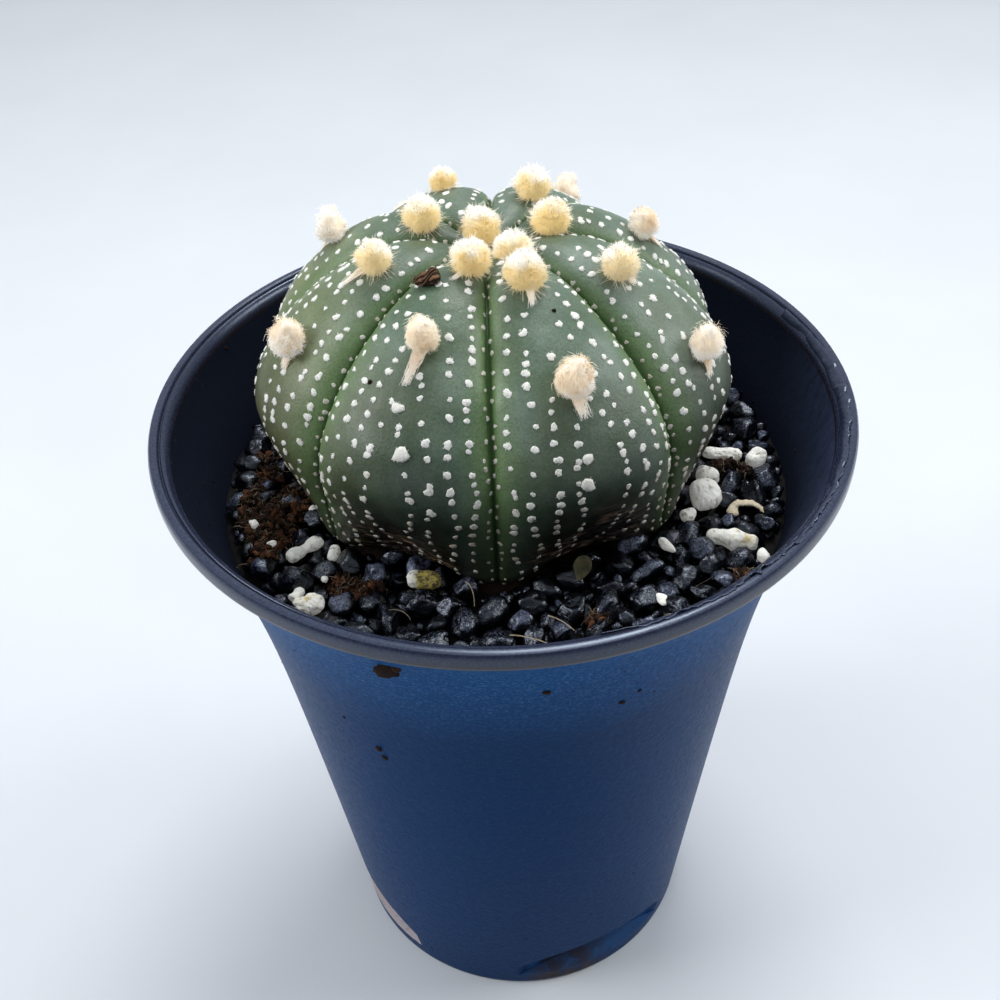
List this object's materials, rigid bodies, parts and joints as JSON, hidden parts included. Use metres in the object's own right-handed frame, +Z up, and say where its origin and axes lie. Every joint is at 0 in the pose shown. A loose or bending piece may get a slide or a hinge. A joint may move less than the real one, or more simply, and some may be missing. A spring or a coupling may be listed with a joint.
{
  "type": "potted star cactus",
  "caption": "Low ribbed spineless cactus with white flecks and cream wool tufts, rooted in a tall round plastic nursery pot filled with potting mix and topped with dark grit and pale stones.",
  "frame": {"origin": "centre of the pot's underside, on the surface it stands on", "axes": "+Z up along the pot's axis, -Y towards the front of the plant"},
  "size_m": [0.09, 0.09, 0.1248],
  "materials": {
    "pot": "satin moulded plastic",
    "potting_mix": "damp fibrous potting mix",
    "grit": "glossy dark grit",
    "peat": "crumbly brown peat",
    "pumice": "chalky porous stone",
    "cactus": "satin grey green skin with white woolly flecks",
    "wool": "dense cream wool",
    "husk": "dried brown husk"
  },
  "bodies": {
    "root": {"pot": "pot", "potting_mix": "potting_mix", "top_grit": "grit", "peat_clump_01": "peat", "peat_clump_02": "peat", "pumice_01": "pumice", "pumice_02": "pumice", "pumice_03": "pumice", "pumice_04": "pumice", "pumice_05": "pumice", "pumice_06": "pumice", "pumice_07": "pumice", "pumice_08": "pumice", "pumice_09": "pumice", "pumice_10": "pumice", "pumice_11": "pumice", "pumice_12": "pumice", "cactus": "cactus", "dried_flower": "husk"}
  },
  "joints": []
}
